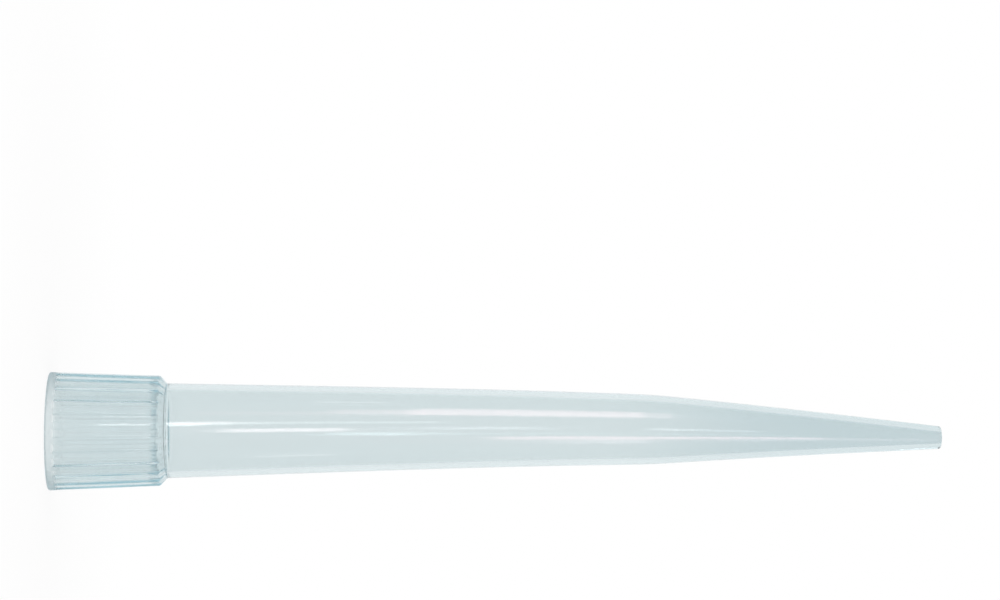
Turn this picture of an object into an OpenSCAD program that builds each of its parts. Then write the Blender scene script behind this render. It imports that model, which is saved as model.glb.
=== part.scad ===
// Tapered pipette tip of the 5 mL size, moulded in one piece of clear polypropylene.
// It stands on its mouth with the nose up, because on its side it would roll.
// The origin is the centre of the mouth, and +Z runs along the axis to the nose.

/* [Overall] */
// Length along the axis, from the mouth to the end of the nose
tip_length = 120; // [110:1:150]

/* [Collar] */
// Outer radius over the ribs at the mouth
collar_mouth_r = 7.94; // [7.75:0.01:8.6]
// Outer radius over the ribs at the collar's front edge
collar_front_r = 7.39; // [7.3:0.01:7.9]
// Distance from the mouth to the collar's front edge
collar_length = 14.8; // [14.2:0.1:20]
// Length of the bevel between the front edge and the barrel
bevel_length = 0.95; // [0.6:0.05:1.6]
// Rounding of the collar's front edge
front_round = 0.3; // [0.1:0.05:0.5]
// Length of the smooth lip at the mouth, behind the ribs
lip_length = 1; // [0.4:0.1:2]
// Bevel on the outer edge of the lip
lip_bevel = 0.2; // [0.1:0.05:0.4]

/* [Ribs] */
// Number of grip ribs round the collar
rib_count = 24; // [16:2:30]
// Width of a rib at the collar's front edge
rib_width = 1; // [0.4:0.05:1.3]
// Height of a rib above the collar's wall
rib_height = 0.2; // [0.15:0.05:0.4]

/* [Socket] */
// Inner radius at the mouth, where the pipette's nozzle enters
socket_mouth_r = 6.8; // [6.5:0.05:6.95]
// Bevel on the mouth's inner edge
mouth_bevel = 0.1; // [0.05:0.05:0.5]
// Distance from the mouth to the seat
seat_start = 9.3; // [6:0.1:9.5]
// Radius of the cylindrical seat that grips the nozzle
seat_r = 6.3; // [6:0.05:6.45]
// Length of the seat
seat_length = 4.1; // [2:0.1:4.5]
// Length of the cone that stops the nozzle
stop_length = 0.8; // [0.4:0.1:1]
// Radius of the throat at the foot of the stop
throat_r = 5.75; // [5.6:0.01:5.95]

/* [Barrel] */
// Outer radius where the barrel leaves the collar
barrel_r = 6.37; // [6.3:0.01:6.6]
// Thickness of the barrel's wall
barrel_wall = 0.8; // [0.6:0.05:1]
// Rounding at the foot of the collar's bevel
foot_round = 0.4; // [0.3:0.1:1.2]

/* [Nose] */
// Distance from the mouth to the shoulder where the nose begins
shoulder_at = 81; // [60:0.1:95]
// Outer radius at the shoulder, before it is rounded
shoulder_r = 4.7; // [4:0.05:5.4]
// Radius of the long curve that rounds the shoulder
shoulder_round = 90; // [20:5:160]
// Outer radius at the end of the nose
nose_end_r = 1.52; // [1.3:0.01:2.2]
// Radius of the orifice
orifice_r = 0.8; // [0.4:0.01:1]
// Rounding of the nose's outer edge
nose_edge_round = 0.25; // [0.1:0.05:0.3]

/* [Hidden] */
$fn = 192;
// How far a cutting shape reaches past the surface that it cuts
past = 1;
// Steps in a rounding
small_steps = 4;
shoulder_steps = 8;

collar_end = collar_length + bevel_length;
seat_end = seat_start + seat_length;
stop_end = seat_end + stop_length;

// Corners of the outer outline, as [distance from the mouth, radius]
lip_edge = [lip_bevel, collar_mouth_r];
front_edge = [collar_length, collar_front_r];
bevel_foot = [collar_end, barrel_r];
shoulder = [shoulder_at, shoulder_r];
nose_edge = [tip_length, nose_end_r];
nose_centre = [tip_length, 0];

// Corners of the bore
bore_start = [collar_end, barrel_r - barrel_wall];
bore_shoulder = [shoulder_at, shoulder_r - barrel_wall];
orifice = [tip_length, orifice_r];

function unit(v) = v / norm(v);

// Half of the angle between the two lines that meet at b
function half_angle(a, b, c) = acos(unit(a - b) * unit(c - b)) / 2;

// Centre of the circle of radius r that touches both lines at the corner b
function round_centre(a, b, c, r) =
    b + unit(unit(a - b) + unit(c - b)) * r / sin(half_angle(a, b, c));

// Turn from direction p to direction q, between -180 and 180
function turn(p, q) = atan2(p.x * q.y - p.y * q.x, p * q);

// Points along the rounding of the corner b, between its neighbours a and c
function rounded(a, b, c, r, steps) =
    let (
        reach = r / tan(half_angle(a, b, c)),
        centre = round_centre(a, b, c, r),
        from = b + unit(a - b) * reach - centre,
        to = b + unit(c - b) * reach - centre,
        start = atan2(from.y, from.x),
        swing = turn(from, to)
    )
    [for (i = [0:steps]) centre + r * [cos(start + swing * i / steps), sin(start + swing * i / steps)]];

outer_outline = concat(
    [[0, 0], [0, collar_mouth_r - lip_bevel], lip_edge],
    rounded(lip_edge, front_edge, bevel_foot, front_round, small_steps),
    rounded(front_edge, bevel_foot, shoulder, foot_round, small_steps),
    rounded(bevel_foot, shoulder, nose_edge, shoulder_round, shoulder_steps),
    rounded(shoulder, nose_edge, nose_centre, nose_edge_round, small_steps),
    [nose_centre]
);

bore_outline = concat(
    [[-past, 0], [-past, socket_mouth_r + mouth_bevel + past], [mouth_bevel, socket_mouth_r]],
    [[seat_start, seat_r], [seat_end, seat_r], [stop_end, throat_r], bore_start],
    rounded(bore_start, bore_shoulder, orifice, shoulder_round, shoulder_steps),
    [orifice, [tip_length + past, orifice_r], [tip_length + past, 0]]
);

rib_pitch = 360 / rib_count;
rib_angle = 2 * asin(rib_width / 2 / collar_front_r);
flute_angle = rib_pitch - rib_angle;

// Solid of revolution about +Z, from an outline of [height, radius]
module turned(outline) {
    rotate_extrude()
        polygon([for (p = outline) [p.y, p.x]]);
}

// Change of the collar's radius over each millimetre from the mouth
collar_slope = (collar_front_r - collar_mouth_r) / (collar_length - lip_bevel);

// Radius of the collar's wall between the ribs, at a distance from the mouth
function wall_r(at) = collar_mouth_r - rib_height + (at - lip_bevel) * collar_slope;

// The hollows between the ribs, closed by the lip and open at the bevel
module flutes() {
    near = lip_length;
    far = collar_end + past;
    over = collar_mouth_r + past;
    for (i = [0:rib_count - 1])
        rotate([0, 0, i * rib_pitch - flute_angle / 2])
            rotate_extrude(angle = flute_angle)
                polygon([[wall_r(near), near], [over, near], [over, far], [wall_r(far), far]]);
}

module tip() {
    color([0.82, 0.88, 0.9, 0.6])
        difference() {
            turned(outer_outline);
            flutes();
            turned(bore_outline);
        }
}

tip();
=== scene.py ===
import math

import bpy
from mathutils import Matrix, Vector


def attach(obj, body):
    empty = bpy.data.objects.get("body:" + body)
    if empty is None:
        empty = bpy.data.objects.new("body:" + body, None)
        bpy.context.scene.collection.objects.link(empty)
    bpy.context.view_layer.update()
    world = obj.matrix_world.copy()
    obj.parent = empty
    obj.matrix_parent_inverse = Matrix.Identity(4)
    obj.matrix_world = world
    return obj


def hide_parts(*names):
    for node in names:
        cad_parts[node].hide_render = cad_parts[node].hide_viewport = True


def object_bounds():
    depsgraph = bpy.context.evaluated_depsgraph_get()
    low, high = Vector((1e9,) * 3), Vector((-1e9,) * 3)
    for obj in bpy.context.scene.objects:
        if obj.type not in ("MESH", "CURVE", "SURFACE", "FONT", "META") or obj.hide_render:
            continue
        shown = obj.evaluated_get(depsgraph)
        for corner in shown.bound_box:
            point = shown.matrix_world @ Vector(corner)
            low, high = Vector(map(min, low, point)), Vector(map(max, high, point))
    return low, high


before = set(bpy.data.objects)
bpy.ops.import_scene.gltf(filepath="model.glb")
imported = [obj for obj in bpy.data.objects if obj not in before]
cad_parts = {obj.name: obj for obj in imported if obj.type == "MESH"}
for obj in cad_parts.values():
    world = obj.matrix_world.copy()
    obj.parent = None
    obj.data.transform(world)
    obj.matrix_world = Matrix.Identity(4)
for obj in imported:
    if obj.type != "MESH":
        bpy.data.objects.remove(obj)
cadLow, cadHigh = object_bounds()
mm = 0.001
tipLength = (cadHigh.z - cadLow.z) / mm
lipRadius = min(-cadLow.x, cadHigh.x, -cadLow.y, cadHigh.y) / mm
print(f"frame loaded: a tip {tipLength:.1f} mm long, {2 * lipRadius:.2f} mm across its lip")

scene = bpy.context.scene
scene.view_settings.view_transform = "Standard"
scene.cycles.max_bounces = 40        # light runs a long way inside clear plastic
scene.cycles.transmission_bounces = 40
scene.cycles.glossy_bounces = 20


# Camera: level with the standing tip, and rolled so that the mouth is on the left and the nose on the right
camera = {
    "distance": 459.2,       # mm from the tip's axis
    "height": 43.4,          # mm above the floor
    "aside": -18.09,         # mm, so that the tip lies below the middle of the picture
    "lens": 122.9,
    "turned": 2.1,           # degrees, the nose a little farther away than the mouth
    "rolled": 90.5,
}


def makeCamera():
    data = bpy.data.cameras.new("camera")
    data.lens = camera["lens"]
    data.sensor_width = 36
    data.clip_start, data.clip_end = 0.01, 20
    eye = bpy.data.objects.new("camera", data)
    scene.collection.objects.link(eye)
    place = Vector((camera["aside"], -camera["distance"], camera["height"])) * mm
    tilt = Matrix.Rotation(math.radians(90 + camera["turned"]), 4, "X")
    roll = Matrix.Rotation(math.radians(camera["rolled"]), 4, "Z")
    eye.matrix_world = Matrix.Translation(place) @ tilt @ roll
    scene.camera = eye


makeCamera()
print("camera placed")


# The tip, in mm. Heights are measured from the mouth, along the axis
tip = {
    "lipRound": 0.2,
    "lipLength": 1.0,            # smooth lip behind the ribs
    "lipFade": 0.1,              # how softly the hollows between the ribs begin
    "collarLength": 14.8,
    "collarFront": 7.39,         # radius over the ribs at the collar's front edge
    "frontRound": 0.35,
    "bevelLength": 0.95,
    "footRound": 0.4,
    "ribs": 24,
    "ribWidth": 1.0,
    "ribHeight": 0.23,
    "ribSoft": 0.17,             # how far a rib's flank spreads to each side
    "ribFoot": 0.06,             # how softly a hollow runs into the bevel
    "barrel": 6.37,              # outer radius where the barrel leaves the collar
    "wall": 0.8,
    "shoulderAt": 81.0,
    "shoulder": 4.7,
    "shoulderRound": 90.0,
    "nose": 1.52,
    "noseRound": 0.3,
    "orifice": 0.8,
    "orificeRound": 0.25,
    "mouth": 6.9,                # inner radius at the mouth, over its bevel
    "mouthBevel": 0.1,
    "mouthRound": 0.03,          # rounding of the bevel's outer edge
    "socketRound": 0.05,         # and of its inner edge
    "socket": 6.8,
    "seatStart": 9.3,
    "seat": 6.3,
    "seatEnd": 13.4,
    "stopEnd": 15.1,
    "throat": 5.75,
    "throatEnd": 15.4,
    "boreStart": 16.1,
    "coreStep": 0.04,            # tiny steps where the parts of the core pin meet
    "coreStepLength": 0.1,
    "innerRound": 2.5,
    "bow": 0.835,                # how far the middle of the moulding is bowed to one side
    "bowSkew": 1.3,              # above 1, the top of the bow lies nearer the nose
    "uprightFrom": 12.0,         # from this far below the nose's end the rings stop leaning with the bow
    "uprightTo": 2.0,            # and from here they are level
}

# How matt the plastic is, where the socket is 1, and where the painted shade darkens the tint toward the
# nose, in mm
finish = {
    "lip": 3.0,
    "lipFade": 0.3,
    "front": 0.6,                # the bevel at the collar's front
    "frontFrom": 1.0,            # how far behind the front edge it begins
    "frontTo": 0.4,              # and is full
    "frontFade": 0.3,
    "nose": 1.5,                 # the end of the nose
    "noseFrom": 0.3,             # how far below the end it begins
    "noseTo": 0.1,
    "stop": 1.0,                 # the stop and the throat
    "stopFade": 0.4,
    "bore": 0.3,                 # the barrel's bore
    "noseShadeFrom": -8.0,            # the painted shade toward the nose starts here, measured from the shoulder
    "noseShadeTo": 22.0,
}

# Loops of vertices round the tip, in mm, and their columns along it
loops = {
    "longest": 5.0,              # the farthest that two loops lie apart
    "guard": 0.04,               # from a bend to the loop that keeps the bend's shading in place
    "bend": 0.04,                # radians, the smallest turn that gets such a loop
    "fadeLoops": 7,              # where the hollows between the ribs begin
    "beforeFront": (0.9, 0.6),   # two more, behind the collar's front edge
    "evenOver": 2.0,             # past the collar's front edge the columns spread out evenly over this length
    "boreAfter": 10,             # number of loops from the nose's end face to the bore
    # Half of the columns in one rib's share of the circle, in degrees from the middle of the rib
    "columns": [0, 0.9, 1.7, 2.4, 2.85, 3.15, 3.45, 3.75, 4.05, 4.35, 4.8, 5.7, 7.5],
}


def cornerArc(before, corner, after, radius, steps):
    # Points along the rounding of a corner, each as (height, radius)
    a, b, c = Vector(before), Vector(corner), Vector(after)
    toA, toC = (a - b).normalized(), (c - b).normalized()
    half = math.acos(max(-1.0, min(1.0, toA.dot(toC)))) / 2
    reach = radius / math.tan(half)
    centre = b + (toA + toC).normalized() * radius / math.sin(half)
    start, end = b + toA * reach - centre, b + toC * reach - centre
    swing = math.atan2(start.x * end.y - start.y * end.x, start.dot(end))
    points = []
    for i in range(steps + 1):
        s, k = math.sin(swing * i / steps), math.cos(swing * i / steps)
        points.append((centre.x + k * start.x - s * start.y, centre.y + s * start.x + k * start.y))
    return points


def roundedLine(corners):
    # Corners are (height, radius, rounding, steps of the rounding); a rounding of 0 keeps the point
    points = []
    for i, (z, r, rounding, steps) in enumerate(corners):
        if rounding:
            points += cornerArc(corners[i - 1][:2], (z, r), corners[i + 1][:2], rounding, steps)
        else:
            points.append((z, r))
    return points


def turnAt(points, i):
    # How sharply the line turns at a point, in radians
    a, b, c = (Vector(points[k % len(points)]) for k in (i - 1, i, i + 1))
    return (b - a).angle(c - b, 0.0)


def withLoops(points):
    # Splits long stretches, with a guard loop beside each bend so that the shading of the bend stays in it
    guard = loops["guard"]
    out = []
    for i, (a, b) in enumerate(zip(points, points[1:])):
        out.append(a)
        span = math.dist(a, b)
        if span > 4 * guard:
            first, last = (guard / span if turnAt(points, k) > loops["bend"] else 0.0 for k in (i, i + 1))
            count = max(1, math.ceil(span * (1 - first - last) / loops["longest"]))
            marks = [first + (1 - first - last) * k / count for k in range(count + 1)]
            out += [(a[0] + (b[0] - a[0]) * m, a[1] + (b[1] - a[1]) * m) for m in marks if 0 < m < 1]
    out.append(points[-1])
    return out


def smoothStep(low, high, x):
    t = max(0.0, min(1.0, (x - low) / (high - low)))
    return t * t * (3 - 2 * t)


def softMin(a, b, blend):
    h = max(blend - abs(a - b), 0.0) / blend
    return min(a, b) - h * h * blend / 4


def outerLine():
    # The whole outline, from the middle of the rim, over the outside to the nose, and back along the bore
    collarEnd = tip["collarLength"] + tip["bevelLength"]
    slope = (tip["collarFront"] - lipRadius) / tip["collarLength"]
    lipEnd, lipTop = tip["lipLength"], lipRadius + slope * tip["lipLength"]
    fade, count = tip["lipFade"], loops["fadeLoops"]
    line = roundedLine([
        (0, (tip["mouth"] + lipRadius) / 2, 0, 0),
        (0, lipRadius, tip["lipRound"], 6),
        (lipEnd - fade, lipTop, 0, 0),
    ])
    for i in range(1, count + 1):
        z = lipEnd - fade + 2 * fade * i / count
        line.append((z, lipRadius + slope * z))
    length, radius = tip["collarLength"], tip["collarFront"]
    front = [(length - back, radius - slope * back, 0, 0) for back in loops["beforeFront"]]
    line += roundedLine([
        (lipEnd + 2 * fade, lipRadius + slope * (lipEnd + 2 * fade), 0, 0),
        *front,
        (tip["collarLength"], tip["collarFront"], tip["frontRound"], 7),
        (collarEnd, tip["barrel"], tip["footRound"], 8),
        (tip["shoulderAt"], tip["shoulder"], tip["shoulderRound"], 10),
        (tipLength, tip["nose"], tip["noseRound"], 7),
        (tipLength, tip["orifice"], tip["orificeRound"], 4),
        (tip["shoulderAt"], tip["shoulder"] - tip["wall"], tip["shoulderRound"], 8),
        (tip["boreStart"], tip["barrel"] - tip["wall"], 0, 0),
        (tip["boreStart"] - tip["coreStepLength"], tip["barrel"] - tip["wall"] + tip["coreStep"], 0, 0),
        (tip["throatEnd"], tip["throat"] - tip["coreStep"], 0, 0),
        (tip["throatEnd"] - tip["coreStepLength"], tip["throat"], 0, 0),
        (tip["stopEnd"], tip["throat"], tip["innerRound"], 4),
        (tip["seatEnd"], tip["seat"], tip["innerRound"], 4),
        (tip["seatStart"], tip["seat"], 0, 0),
        (tip["mouthBevel"], tip["socket"], tip["socketRound"], 3),
        (0, tip["mouth"], tip["mouthRound"], 3),
        (0, (tip["mouth"] + lipRadius) / 2, 0, 0),
    ])
    return line[:-1]


def ringRadius(z, r, offRib, outside):
    # Radius at a height, cut down between the ribs of the collar
    lipEnd, fade = tip["lipLength"], tip["lipFade"]
    if not outside or z > tip["collarLength"] + tip["bevelLength"] or z < lipEnd - fade:
        return r
    slope = (tip["collarFront"] - lipRadius) / tip["collarLength"]
    overRibs = lipRadius + slope * z
    inLip = 1 - smoothStep(lipEnd - fade, lipEnd + fade, z)
    sideways = math.radians(abs(offRib)) * overRibs
    halfWidth, soft = tip["ribWidth"] / 2, tip["ribSoft"]
    onRib = 1 - smoothStep(halfWidth - soft, halfWidth + soft, sideways)
    floorRadius = overRibs - tip["ribHeight"] * (1 - max(inLip, onRib))
    return softMin(floorRadius, r, tip["ribFoot"]) if floorRadius < r else r


def bowAt(z):
    # How far the axis has moved sideways at a height, and how steeply it leans there
    span = tipLength - tip["lipLength"]
    t = max(0.0, min(1.0, (z - tip["lipLength"]) / span))
    skew = tip["bowSkew"]
    shift = -tip["bow"] * math.sin(math.pi * t ** skew)
    lean = -tip["bow"] * math.cos(math.pi * t ** skew) * math.pi * skew * t ** (skew - 1)
    upright = smoothStep(tipLength - tip["uprightFrom"], tipLength - tip["uprightTo"], z)
    return shift, lean / span * (1 - upright)


def hazeAt(z, inside):
    # How matt the surface is at a height
    if inside:
        seat = 1 - smoothStep(tip["seatEnd"] - finish["stopFade"], tip["seatEnd"], z)
        throat = 1 - smoothStep(tip["throatEnd"], tip["boreStart"], z)
        return finish["bore"] + (finish["stop"] - finish["bore"]) * throat + (1 - finish["stop"]) * seat
    front, end = tip["collarLength"], tip["collarLength"] + tip["bevelLength"]
    lip = 1 - smoothStep(tip["lipLength"], tip["lipLength"] + finish["lipFade"], z)
    bevel = smoothStep(front - finish["frontFrom"], front - finish["frontTo"], z)
    bevel *= 1 - smoothStep(end, end + finish["frontFade"], z)
    nose = smoothStep(tipLength - finish["noseFrom"], tipLength - finish["noseTo"], z)
    return finish["lip"] * lip + finish["front"] * bevel + finish["nose"] * nose


def addAttribute(mesh, name, values):
    mesh.attributes.new(name, "FLOAT", "POINT").data.foreach_set("value", values)


def makeTip():
    line = withLoops(outerLine())
    farthest = max(range(len(line)), key=lambda i: line[i][0])
    front, pitch = tip["collarLength"], 360 / tip["ribs"]
    offsets = loops["columns"]
    half = len(offsets) - 1
    columns = [(k, j) for k in range(tip["ribs"]) for j in range(1 - half, half + 1)]
    points = []
    for i, (z, r) in enumerate(line):
        shift, lean = bowAt(z)
        even = 1 if i > farthest else smoothStep(front, front + loops["evenOver"], z)
        for k, j in columns:
            offRib = math.copysign(offsets[abs(j)], j) * (1 - even) + j * pitch / 2 / half * even
            radius = ringRadius(z, r, offRib, i <= farthest)
            turn = math.radians(pitch * (k + 0.5) + offRib)
            x = radius * math.cos(turn)
            points.append(Vector((x + shift, radius * math.sin(turn), z - x * lean)) * mm)
    across, along = len(columns), len(line)
    faces = []
    for i in range(along):
        for j in range(across):
            a, b = i * across + j, i * across + (j + 1) % across
            c, d = (i + 1) % along * across + (j + 1) % across, (i + 1) % along * across + j
            faces.append((a, b, c, d))
    mesh = bpy.data.meshes.new("pipetteTip")
    mesh.from_pydata(points, [], faces)
    mesh.validate()
    mesh.polygons.foreach_set("use_smooth", [True] * len(mesh.polygons))
    # Painted shade: the tint darkens toward the nose, from below the shoulder to past it
    noseShadeFrom, noseShadeTo = tip["shoulderAt"] + finish["noseShadeFrom"], tip["shoulderAt"] + finish["noseShadeTo"]
    haze, noseShade = [], []
    for i, (z, r) in enumerate(line):
        haze += [hazeAt(z, i > farthest + loops["boreAfter"])] * across
        noseShade += [smoothStep(noseShadeFrom, noseShadeTo, z)] * across
    addAttribute(mesh, "haze", haze)
    addAttribute(mesh, "noseShade", noseShade)
    mesh.update()
    piece = bpy.data.objects.new("pipetteTip", mesh)
    scene.collection.objects.link(piece)
    print(f"tip made: {along} loops of {across} points")
    return piece


pipetteTip = makeTip()


# Clear polypropylene, slightly milky
plastic = {
    "tint": (0.845, 0.879, 0.883, 1),
    "streakTint": (0.83, 0.866, 0.871, 1),   # where the melt flowed more slowly
    "noseShadeTint": (0.76, 0.815, 0.828, 1),     # painted shade: the tint darkens toward the nose, where the plastic itself is no different
    "flow": (260, 260, 14),                  # how fine the flow marks are across and along the tip, per metre
    "flowDetail": 3.0,
    "flowRoughness": 0.6,
    "uneven": 0.02,                          # how much the surface's roughness varies with them
    "grain": 900.0,                          # per metre, faint unevenness of the mould's polish
    "grainDetail": 2.0,
    "grainDepth": 0.00002,                   # metres
    "grainStrength": 0.06,
    "roughness": 0.05,
    "socketRoughness": 0.2,
    "clear": 1.0,
    "bends": 1.49,
    "soaked": (0.55, 0.80, 0.86, 1),         # what is left of white light deep in the plastic
    "density": 130.0,
}


def newTree(owner, outKind):
    owner.use_nodes = True
    owner.node_tree.nodes.clear()
    return owner.node_tree, addNode(owner.node_tree, outKind, 600, 0)


def addNode(tree, kind, x, y, **values):
    node = tree.nodes.new(kind)
    node.location = (x, y)
    for name, value in values.items():
        node.inputs[name].default_value = value
    return node


def feed(tree, socket, value):
    # A link where the value is another node's output, and a plain setting otherwise
    if isinstance(value, bpy.types.NodeSocket):
        tree.links.new(value, socket)
    else:
        socket.default_value = value


def addMath(tree, operation, x, y, *values):
    node = addNode(tree, "ShaderNodeMath", x, y)
    node.operation = operation
    for i, value in enumerate(values):
        feed(tree, node.inputs[i], value)
    return node.outputs[0]


def addMix(tree, x, y, share, a, b):
    node = addNode(tree, "ShaderNodeMix", x, y)
    node.data_type = "RGBA"
    for name, value in (("Factor_Float", share), ("A_Color", a), ("B_Color", b)):
        feed(tree, next(i for i in node.inputs if i.identifier == name), value)
    return next(o for o in node.outputs if o.identifier == "Result_Color")


def makePlastic():
    material = bpy.data.materials.new("clearPolypropylene")
    tree, out = newTree(material, "ShaderNodeOutputMaterial")
    link = tree.links.new
    shader = addNode(tree, "ShaderNodeBsdfPrincipled", 300, 0, IOR=plastic["bends"])
    shader.inputs["Transmission Weight"].default_value = plastic["clear"]
    haze = addNode(tree, "ShaderNodeAttribute", -600, -200)
    haze.attribute_name = "haze"
    noseShade = addNode(tree, "ShaderNodeAttribute", -200, 300)
    noseShade.attribute_name = "noseShade"
    place = addNode(tree, "ShaderNodeTexCoord", -1200, 100)

    # Flow marks tint the plastic and vary its roughness
    along = addNode(tree, "ShaderNodeMapping", -1000, 100, Scale=plastic["flow"])
    link(place.outputs["Object"], along.inputs["Vector"])
    detail, rough = plastic["flowDetail"], plastic["flowRoughness"]
    flow = addNode(tree, "ShaderNodeTexNoise", -800, 100, Scale=1.0, Detail=detail, Roughness=rough)
    link(along.outputs["Vector"], flow.inputs["Vector"])
    tint = addMix(tree, 0, 100, flow.outputs["Fac"], plastic["tint"], plastic["streakTint"])
    # Painted shade: the tint darkens toward the nose
    tint = addMix(tree, 150, 200, noseShade.outputs["Fac"], tint, plastic["noseShadeTint"])
    link(tint, shader.inputs["Base Color"])
    least = plastic["roughness"] - plastic["uneven"] / 2
    uneven = addMath(tree, "MULTIPLY_ADD", -400, -100, flow.outputs["Fac"], plastic["uneven"], least)
    matter = plastic["socketRoughness"] - plastic["roughness"]
    roughness = addMath(tree, "MULTIPLY_ADD", -200, -200, haze.outputs["Fac"], matter, uneven)
    link(roughness, shader.inputs["Roughness"])

    # Grain left by the polish of the mould
    scale, detail = plastic["grain"], plastic["grainDetail"]
    grain = addNode(tree, "ShaderNodeTexNoise", -800, -500, Scale=scale, Detail=detail)
    link(place.outputs["Object"], grain.inputs["Vector"])
    strength, depth = plastic["grainStrength"], plastic["grainDepth"]
    bump = addNode(tree, "ShaderNodeBump", -200, -500, Strength=strength, Distance=depth)
    link(grain.outputs["Fac"], bump.inputs["Height"])
    link(bump.outputs["Normal"], shader.inputs["Normal"])

    soaked, density = plastic["soaked"], plastic["density"]
    soak = addNode(tree, "ShaderNodeVolumeAbsorption", 300, -400, Color=soaked, Density=density)
    link(shader.outputs["BSDF"], out.inputs["Surface"])
    link(soak.outputs["Volume"], out.inputs["Volume"])
    return material


pipetteTip.data.materials.append(makePlastic())
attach(pipetteTip, "root")
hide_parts("tip")
print("plastic made")


# Floor and background: the camera and the clear plastic both see them plain white
room = {
    "floorSize": 3.0,            # metres from the middle to each side
    "floorColour": (0.92, 0.92, 0.92, 1),
    "white": (1, 1, 1, 1),
    "shadowShare": 0.12,         # how much of the floor's own light and shade shows near the tip
    "whiteFrom": 0.15,           # metres from the tip at which the floor has faded to plain white
    "fill": 0.92,                # plain light from all round
}


def addWhiteRays(tree, x, y):
    # 1 for the rays that see plain white: those from the camera, and those by way of the plastic
    path = addNode(tree, "ShaderNodeLightPath", x, y)
    mirrored, through = path.outputs["Is Glossy Ray"], path.outputs["Is Transmission Ray"]
    bent = addMath(tree, "MAXIMUM", x + 200, y, mirrored, through)
    return addMath(tree, "MAXIMUM", x + 400, y, bent, path.outputs["Is Camera Ray"]), bent


def mixInto(tree, out, share, first, second):
    # Shows the second shader by that share, and the first by the rest
    mix = addNode(tree, "ShaderNodeMixShader", 250, 0)
    for socket, value in zip(mix.inputs, (share, first.outputs[0], second.outputs[0])):
        tree.links.new(value, socket)
    tree.links.new(mix.outputs[0], out.inputs["Surface"])


def makeFloor():
    size = room["floorSize"]
    corners = [(-size, -size, 0), (size, -size, 0), (size, size, 0), (-size, size, 0)]
    mesh = bpy.data.meshes.new("floor")
    mesh.from_pydata(corners, [], [(0, 1, 2, 3)])
    floor = bpy.data.objects.new("floor", mesh)
    scene.collection.objects.link(floor)
    material = bpy.data.materials.new("whiteFloor")
    tree, out = newTree(material, "ShaderNodeOutputMaterial")
    anyRay, bent = addWhiteRays(tree, -900, 200)

    # The floor's own shade fades out with the distance from the tip
    place = addNode(tree, "ShaderNodeNewGeometry", -1200, 0)
    reach = addNode(tree, "ShaderNodeVectorMath", -900, -300)
    reach.operation = "LENGTH"
    tree.links.new(place.outputs["Position"], reach.inputs[0])
    fade = addNode(tree, "ShaderNodeMapRange", -600, -300)
    fade.interpolation_type = "SMOOTHSTEP"
    tree.links.new(reach.outputs["Value"], fade.inputs["Value"])
    fade.inputs["From Max"].default_value = room["whiteFrom"]
    fade.inputs["To Min"].default_value = 1 - room["shadowShare"]
    share = addMath(tree, "MAXIMUM", -450, -300, fade.outputs["Result"], bent)
    plain = addMath(tree, "MULTIPLY", -300, -300, share, anyRay)

    matt = addNode(tree, "ShaderNodeBsdfDiffuse", 0, 200, Color=room["floorColour"])
    glow = addNode(tree, "ShaderNodeEmission", 0, 0, Color=room["white"], Strength=1.0)
    mixInto(tree, out, plain, matt, glow)
    mesh.materials.append(material)


def makeWorld():
    scene.world = bpy.data.worlds.new("studio")
    tree, out = newTree(scene.world, "ShaderNodeOutputWorld")
    anyRay, bent = addWhiteRays(tree, -900, 0)
    fill = addNode(tree, "ShaderNodeBackground", 0, 200, Color=room["white"], Strength=room["fill"])
    white = addNode(tree, "ShaderNodeBackground", 0, 0, Color=room["white"], Strength=1.0)
    mixInto(tree, out, anyRay, fill, white)


makeFloor()
makeWorld()
print("floor and background made")


# Soft boxes: angle round the tip from the camera's side in degrees, height and size in mm, and how bright
# and how warm each looks
lampDistance = 600           # mm from the tip's axis
warmBlue = 0.9               # how much blue a warm lamp loses, for each unit of warmth
lamps = {
    "collarGlint": {"angle": 16.5, "height": 9, "wide": 75, "tall": 18, "bright": 6, "warm": 0.0},
    "strip": {"angle": 20.5, "height": 2, "wide": 72, "tall": 50, "bright": 4.4, "warm": 0.1},
    "stripTail": {"angle": 20.5, "height": 54, "wide": 55, "tall": 76, "bright": 1.6, "warm": 0.0},
    "middle": {"angle": 1, "height": 46, "wide": 96, "tall": 38, "bright": 4.4, "warm": 0.2},
    "softFoot": {"angle": 46, "height": 32, "wide": 80, "tall": 44, "bright": 0.5, "warm": 0.6},
    "softTail": {"angle": 50, "height": 66, "wide": 130, "tall": 30, "bright": 1.7, "warm": 0.4},
    "softBox": {"angle": 51, "height": 122, "wide": 200, "tall": 90, "bright": 3.6, "warm": 0.35},
    "softEnd": {"angle": 51, "height": 197, "wide": 180, "tall": 60, "bright": 1.8, "warm": 0.3},
    "counterBox": {"angle": -27, "height": 193, "wide": 95, "tall": 162, "bright": 3.4, "warm": 0.4},
    "leftGlint": {"angle": 79, "height": 52, "wide": 40, "tall": 24, "bright": 1.6, "warm": 0.1},
    "rightGlint": {"angle": -69, "height": 52, "wide": 50, "tall": 24, "bright": 1.6, "warm": 0.1},
}


def makeLamp(name, spec):
    data = bpy.data.lights.new(name, "AREA")
    data.shape = "RECTANGLE"
    data.size, data.size_y = spec["wide"] * mm, spec["tall"] * mm
    data.energy = spec["bright"] * math.pi * data.size * data.size_y     # watts for that radiance
    data.color = (1, 1 - spec["warm"], 1 - warmBlue * spec["warm"])
    lamp = bpy.data.objects.new(name, data)
    scene.collection.objects.link(lamp)
    turn = math.radians(spec["angle"])
    away = Vector((-math.sin(turn), -math.cos(turn), 0))
    place = away * lampDistance * mm + Vector((0, 0, spec["height"] * mm))
    facing = away.to_track_quat("Z", "Y").to_matrix().to_4x4()
    lamp.matrix_world = Matrix.Translation(place) @ facing
    lamp.visible_camera = False


for name, spec in lamps.items():
    makeLamp(name, spec)
print("lamps made")
